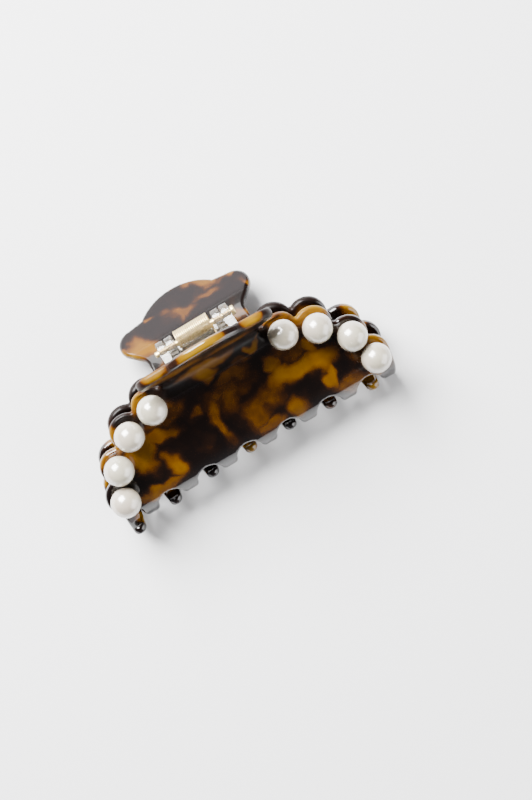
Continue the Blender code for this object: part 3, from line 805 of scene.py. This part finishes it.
def spring_route():
    """The wire's middle: rear leg, coil, front leg. Both legs leave the coil at its bottom."""
    bottom = COIL_SHIFT_Z - COIL_RADIUS
    knee_z = (bottom + LEG_Z) / 2
    rear_tip = Vector((COIL_START_X, LEG_Y, LEG_Z))
    rear_knee = Vector((COIL_START_X, LEG_Y / 2, knee_z))
    coil_start = Vector((COIL_START_X, COIL_SHIFT_Y, bottom))
    coil_end = Vector((COIL_END_X, COIL_SHIFT_Y, bottom))
    front_knee = Vector((COIL_END_X, -LEG_Y / 2, knee_z))
    front_tip = Vector((COIL_END_X, -LEG_Y, LEG_Z))
    route = [rear_tip.lerp(rear_knee, i / LEG_OUTER_POINTS) for i in range(LEG_OUTER_POINTS)]
    route += [rear_knee.lerp(coil_start, i / LEG_INNER_POINTS) for i in range(LEG_INNER_POINTS)]
    for i in range(COIL_TURNS * COIL_POINTS + 1):
        angle = 2 * math.pi * i / COIL_POINTS
        x = COIL_START_X + COIL_PITCH * i / COIL_POINTS
        y = COIL_SHIFT_Y - COIL_RADIUS * math.sin(angle)
        route.append(Vector((x, y, COIL_SHIFT_Z - COIL_RADIUS * math.cos(angle))))
    route += [coil_end.lerp(front_knee, i / LEG_INNER_POINTS) for i in range(1, LEG_INNER_POINTS + 1)]
    route += [front_knee.lerp(front_tip, i / LEG_OUTER_POINTS) for i in range(1, LEG_OUTER_POINTS + 1)]
    return route


def spring_piece(material):
    mesh = tube("spring_wound", spring_route(), WIRE_RADIUS)
    mesh.transform(HINGE)
    mesh.materials.append(material)
    obj = link("spring_wound", mesh)
    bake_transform(obj)
    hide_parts("torsion_spring")
    return obj


def keep_pegs(material):
    """The part's own pegs are kept, in this material."""
    for name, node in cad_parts.items():
        if name.startswith("peg_"):
            node.data.materials.clear()
            node.data.materials.append(material)


def rounded_rectangle(half_width, top, bottom, corner):
    right = math.pi / 2
    points = []
    for x, s, start in ((1, bottom, 0.0), (-1, bottom, right), (-1, top, 2 * right), (1, top, 3 * right)):
        centre_s = s - corner if s == bottom else s + corner
        points += arc_points((x * (half_width - corner), centre_s), corner, start, start + right, 3)
    return points


def joined(target, mesh, operation, matrix=None):
    """Adds this mesh to the target piece, or cuts it out of it."""
    other = link("cutter", mesh)
    if matrix is not None:
        other.matrix_world = matrix
    modifier = target.modifiers.new("join", "BOOLEAN")
    modifier.operation = operation
    modifier.solver = "EXACT"
    modifier.object = other
    bpy.context.view_layer.update()
    graph = bpy.context.evaluated_depsgraph_get()
    made = bpy.data.meshes.new_from_object(target.evaluated_get(graph))
    target.modifiers.clear()
    target.data = made
    bpy.data.objects.remove(other, do_unlink=True)


def knuckle_profile(x):
    """A knuckle with rounded rims, centred at x on the hinge axis."""
    right = x + KNUCKLE_LENGTH / 2
    left = x - KNUCKLE_LENGTH / 2
    profile = [(right, 0.0)] + rim_points(right, KNUCKLE_RADIUS, KNUCKLE_ROUND, 1)
    profile += list(reversed(rim_points(left, KNUCKLE_RADIUS, KNUCKLE_ROUND, -1)))
    return profile + [(left, 0.0)]


def web_mesh():
    mesh = bpy.data.meshes.new("web")
    shape = bmesh.new()
    bmesh.ops.create_cube(shape, size=1.0)
    shape.to_mesh(mesh)
    shape.free()
    mesh.transform(Matrix.Diagonal((WEB_LENGTH, WEB_REACH, WEB_THICKNESS, 1.0)))
    return mesh


def leaf(name, knuckle_x, matrix, material, body, node):
    """A pad that follows the sheet's inner face, with two knuckles on webs."""
    points = rounded_rectangle(PAD_HALF_WIDTH, PAD_TOP_S, PAD_BOTTOM_S, PAD_CORNER)
    mesh = flat_slab(name, points, PAD_THICKNESS, PAD_ROUND, PAD_RINGS)
    middle = -HALF_SHEET - GAP - PAD_THICKNESS / 2
    bend(mesh, levels(*PAD_COLUMNS), levels(*PAD_ROWS), middle)
    mesh.attributes.remove(mesh.attributes["flat"])
    obj = link(name, mesh)
    towards_pad = Vector((0.0, -math.cos(WEB_HEADING), math.sin(WEB_HEADING)))
    turn = Matrix.Rotation(-WEB_HEADING, 4, "X")
    for x in (-knuckle_x, knuckle_x):
        joined(obj, lathe("barrel", knuckle_profile(x), KNUCKLE_STEPS), "UNION")
        web_middle = Vector((x, 0.0, 0.0)) + towards_pad * WEB_REACH / 2
        joined(obj, web_mesh(), "UNION", Matrix.Translation(web_middle) @ turn)
    bore_profile = (
        (BORE_REACH, 0.0),
        (BORE_REACH, BORE_RADIUS),
        (-BORE_REACH, BORE_RADIUS),
        (-BORE_REACH, 0.0),
    )
    joined(obj, lathe("bore", bore_profile, BORE_STEPS), "DIFFERENCE")
    obj.data.transform(matrix)
    smooth_below(obj.data, 32.0)
    return finish_piece(obj, material, body, node)


# Stage --------------------------------------------------------------------------------------


def floor():
    mesh = bpy.data.meshes.new("floor")
    reach = FLOOR_REACH
    corners = [(-reach, -reach, 0.0), (reach, -reach, 0.0), (reach, reach, 0.0), (-reach, reach, 0.0)]
    mesh.from_pydata(corners, [], [(0, 1, 2, 3)])
    n = Nodes("pale_floor")
    n.shader.inputs["Base Color"].default_value = (0.66, 0.66, 0.665, 1.0)
    n.shader.inputs["Roughness"].default_value = 0.9
    n.shader.inputs["Specular IOR Level"].default_value = 0.1
    mesh.materials.append(n.material)
    obj = link("floor", mesh)
    obj.location.z = FLOOR_Z


# Area lights: name, direction to it, distance, width and height, power and colour.
LIGHTS = (
    ("key_softbox", (-0.2, 0.68, 0.71), 1.0, (0.66, 0.66), 98.0, (1.0, 1.0, 1.0)),
    ("back_panel", (-0.1, 1.0, 0.22), 1.1, (1.6, 0.45), 5.8, (1.0, 0.93, 0.97)),
    ("right_fill", (0.75, -0.6, 0.42), 1.2, (1.3, 0.9), 26.0, (1.0, 1.0, 1.0)),
)
# The studio walls' strength fades from its value low down to its value overhead.
WALL_COLOUR = (0.97, 0.95, 1.0, 1.0)
WALL_LOW = (0.15, 0.38)
WALL_HIGH = (0.95, 0.09)


def area_light(name, direction, distance, size, power, colour):
    light = bpy.data.lights.new(name, "AREA")
    light.shape = "RECTANGLE"
    light.size, light.size_y = size
    light.energy = power
    light.color = colour
    obj = bpy.data.objects.new(name, light)
    bpy.context.scene.collection.objects.link(obj)
    towards = Vector(direction).normalized()
    obj.location = towards * distance
    obj.rotation_euler = towards.to_track_quat("Z", "Y").to_euler()


def lighting():
    """A studio darker overhead than at its walls, with one large key light behind the clip."""
    world = bpy.data.worlds.new("studio")
    world.use_nodes = True
    tree = world.node_tree
    direction = tree.nodes.new("ShaderNodeTexCoord")
    height = tree.nodes.new("ShaderNodeSeparateXYZ")
    tree.links.new(direction.outputs["Generated"], height.inputs[0])
    fade = tree.nodes.new("ShaderNodeMapRange")
    tree.links.new(height.outputs["Z"], fade.inputs["Value"])
    fade.inputs["From Min"].default_value, fade.inputs["To Min"].default_value = WALL_LOW
    fade.inputs["From Max"].default_value, fade.inputs["To Max"].default_value = WALL_HIGH
    background = tree.nodes["Background"]
    background.inputs["Color"].default_value = WALL_COLOUR
    tree.links.new(fade.outputs["Result"], background.inputs["Strength"])
    bpy.context.scene.world = world
    for light in LIGHTS:
        area_light(*light)


def camera():
    data = bpy.data.cameras.new("camera")
    data.sensor_width = CAMERA_SENSOR
    data.lens = CAMERA_LENS
    data.clip_start = 0.01
    obj = bpy.data.objects.new("camera", data)
    bpy.context.scene.collection.objects.link(obj)
    turn = Matrix.Rotation(CAMERA_ROLL, 4, "Z")
    obj.matrix_world = Matrix.Translation(PIN + CAMERA_FROM_PIN) @ turn
    bpy.context.scene.camera = obj


def main():
    gold = gold_material()
    clear = clear_material()
    front_shell = tortoiseshell(
        "tortoiseshell_front", FRONT_PATCHES, seed=0.0, loose=0.3, bend_shade_from=FRONT_BEND_SHADE_FROM
    )
    rear_shell = tortoiseshell(
        "tortoiseshell_rear", REAR_PATCHES, seed=37.0, loose=0.8, bend_shade_from=REAR_BEND_SHADE_FROM
    )
    half("jaw_front", FRONT, front_shell, "front", "front_half")
    half("jaw_rear", REAR, rear_shell, "rear", "rear_half")
    leaf("leaf_front", OUTER_KNUCKLE_X, HINGE, clear, "front", "front_hinge_leaf")
    leaf("leaf_rear", INNER_KNUCKLE_X, REAR, clear, "rear", "rear_hinge_leaf")
    pearls(pearl_material())
    pin_piece(gold)
    spring_piece(gold)
    keep_pegs(gold)
    floor()
    lighting()
    camera()


main()
